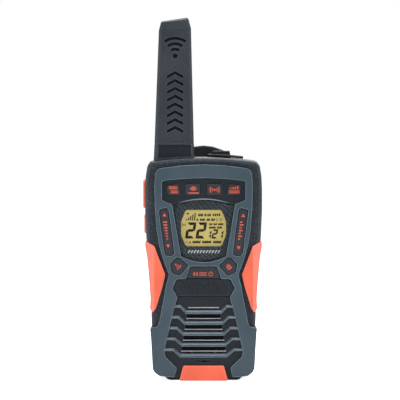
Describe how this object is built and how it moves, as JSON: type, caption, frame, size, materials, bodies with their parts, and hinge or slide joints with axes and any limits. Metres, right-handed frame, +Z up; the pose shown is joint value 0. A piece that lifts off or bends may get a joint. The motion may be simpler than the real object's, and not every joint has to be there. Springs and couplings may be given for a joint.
{
  "type": "walkie talkie",
  "caption": "Handheld two-way radio with a blade antenna, small display, keys, louvred speaker grille, rubber side grips, battery bay and belt clip.",
  "frame": {"origin": "middle of the flat base that the radio stands on", "axes": "+Z up along the antenna, the face with the display and keys looks toward -Y, +X on the viewer's right"},
  "size_m": [0.0631, 0.042, 0.1924],
  "materials": {
    "charcoal_plastic": "fine-grained charcoal ABS",
    "slate_plastic": "satin slate-blue ABS",
    "black_plastic": "satin black ABS",
    "orange_rubber": "soft-touch orange elastomer",
    "key_rubber": "matt silicone",
    "seal_rubber": "matt black silicone",
    "clear_window": "polished clear acrylic",
    "lcd_glass": "olive-yellow reflective display",
    "white_diffuser": "white acetal",
    "steel": "plated steel",
    "brass": "bare brass wire",
    "green_board": "green solder mask",
    "speaker_paper": "black paper",
    "membrane": "black woven membrane",
    "cell_label": "plain blue label on a cell"
  },
  "bodies": {
    "housing": {"front_shell": "charcoal_plastic", "rear_shell": "charcoal_plastic", "antenna_collar": "charcoal_plastic", "antenna_sleeve": "charcoal_plastic", "face_bezel": "slate_plastic", "keypad_panel": "black_plastic", "display_surround": "black_plastic", "badge_plate": "black_plastic", "grille_panel": "black_plastic", "jack_socket": "black_plastic", "grip_left": "orange_rubber", "grip_right": "orange_rubber", "bottom_bumper": "orange_rubber", "shell_seal": "seal_rubber", "keypad_mat": "seal_rubber", "display_lens": "clear_window", "lcd_panel": "lcd_glass", "lcd_backlight": "white_diffuser", "antenna_core": "white_diffuser", "rf_shield": "steel", "speaker_basket": "steel", "speaker_magnet": "steel", "mic_capsule": "steel", "contact_plate_lower": "steel", "contact_plate_upper": "steel", "contact_spring_1": "steel", "contact_spring_2": "steel", "contact_spring_3": "steel", "case_screw_1": "steel", "case_screw_2": "steel", "case_screw_3": "steel", "case_screw_4": "steel", "antenna_coil": "brass", "main_board": "green_board", "speaker_cone": "speaker_paper", "speaker_membrane": "membrane", "battery_cell_1": "cell_label", "battery_cell_2": "cell_label", "battery_cell_3": "cell_label"},
    "ptt_button": {"ptt_button": "orange_rubber"},
    "boost_button": {"boost_button": "orange_rubber"},
    "top_key_1": {"top_key_1": "key_rubber"},
    "top_key_2": {"top_key_2": "key_rubber"},
    "top_key_3": {"top_key_3": "key_rubber"},
    "top_key_4": {"top_key_4": "key_rubber"},
    "call_key": {"call_key": "key_rubber"},
    "lock_key": {"lock_key": "key_rubber"},
    "mode_key": {"mode_key": "key_rubber"},
    "volume_rocker": {"volume_rocker": "key_rubber"},
    "channel_rocker": {"channel_rocker": "key_rubber"},
    "battery_door": {"battery_door": "charcoal_plastic", "door_seal": "seal_rubber"},
    "door_lock": {"door_lock": "black_plastic"},
    "clip_carrier": {"clip_carrier": "black_plastic", "clip_pin": "steel", "clip_spring": "steel"},
    "belt_clip": {"belt_clip": "black_plastic"},
    "jack_cover": {"jack_cover": "seal_rubber"}
  },
  "joints": [
    {"name": "ptt_press", "type": "slide", "parent": "housing", "child": "ptt_button", "axis": [1, 0, 0], "range_m": [0, 0.001], "stiffness_N_per_m": 800},
    {"name": "boost_press", "type": "slide", "parent": "housing", "child": "boost_button", "axis": [1, 0, 0], "range_m": [0, 0.001], "stiffness_N_per_m": 800},
    {"name": "top_key_1_press", "type": "slide", "parent": "housing", "child": "top_key_1", "axis": [0, 1, 0], "range_m": [0, 0.0007], "stiffness_N_per_m": 600},
    {"name": "top_key_2_press", "type": "slide", "parent": "housing", "child": "top_key_2", "axis": [0, 1, 0], "range_m": [0, 0.0007], "stiffness_N_per_m": 600},
    {"name": "top_key_3_press", "type": "slide", "parent": "housing", "child": "top_key_3", "axis": [0, 1, 0], "range_m": [0, 0.0007], "stiffness_N_per_m": 600},
    {"name": "top_key_4_press", "type": "slide", "parent": "housing", "child": "top_key_4", "axis": [0, 1, 0], "range_m": [0, 0.0007], "stiffness_N_per_m": 600},
    {"name": "call_key_press", "type": "slide", "parent": "housing", "child": "call_key", "axis": [0, 1, 0], "range_m": [0, 0.0007], "stiffness_N_per_m": 600},
    {"name": "lock_key_press", "type": "slide", "parent": "housing", "child": "lock_key", "axis": [0, 1, 0], "range_m": [0, 0.0007], "stiffness_N_per_m": 600},
    {"name": "mode_key_press", "type": "slide", "parent": "housing", "child": "mode_key", "axis": [0, 1, 0], "range_m": [0, 0.0007], "stiffness_N_per_m": 600},
    {"name": "volume_rocker_tip", "type": "hinge", "parent": "housing", "child": "volume_rocker", "pos_m": [-0.0196, -0.0133, 0.079], "axis": [1, 0, 0], "range_deg": [-3, 3], "stiffness_Nm_per_rad": 0.05},
    {"name": "channel_rocker_tip", "type": "hinge", "parent": "housing", "child": "channel_rocker", "pos_m": [0.0196, -0.0133, 0.079], "axis": [1, 0, 0], "range_deg": [-3, 3], "stiffness_Nm_per_rad": 0.05},
    {"name": "battery_door_open", "type": "hinge", "parent": "housing", "child": "battery_door", "pos_m": [0, 0.0162, 0.0682], "axis": [1, 0, 0], "range_deg": [0, 80]},
    {"name": "door_lock_turn", "type": "hinge", "parent": "battery_door", "child": "door_lock", "pos_m": [0, 0.0175, 0.015], "axis": [0, 1, 0], "range_deg": [0, 90]},
    {"name": "clip_carrier_slide", "type": "slide", "parent": "housing", "child": "clip_carrier", "axis": [0, 0, 1], "range_m": [0, 0.022]},
    {"name": "belt_clip_open", "type": "hinge", "parent": "clip_carrier", "child": "belt_clip", "pos_m": [0, 0.0209, 0.108], "axis": [1, 0, 0], "range_deg": [0, 14], "stiffness_Nm_per_rad": 0.4, "springref_deg": -11.46},
    {"name": "jack_cover_open", "type": "hinge", "parent": "housing", "child": "jack_cover", "pos_m": [0.0202, 0.0083, 0.1184], "axis": [0, 1, 0], "range_deg": [0, 100], "stiffness_Nm_per_rad": 0.004}
  ]
}
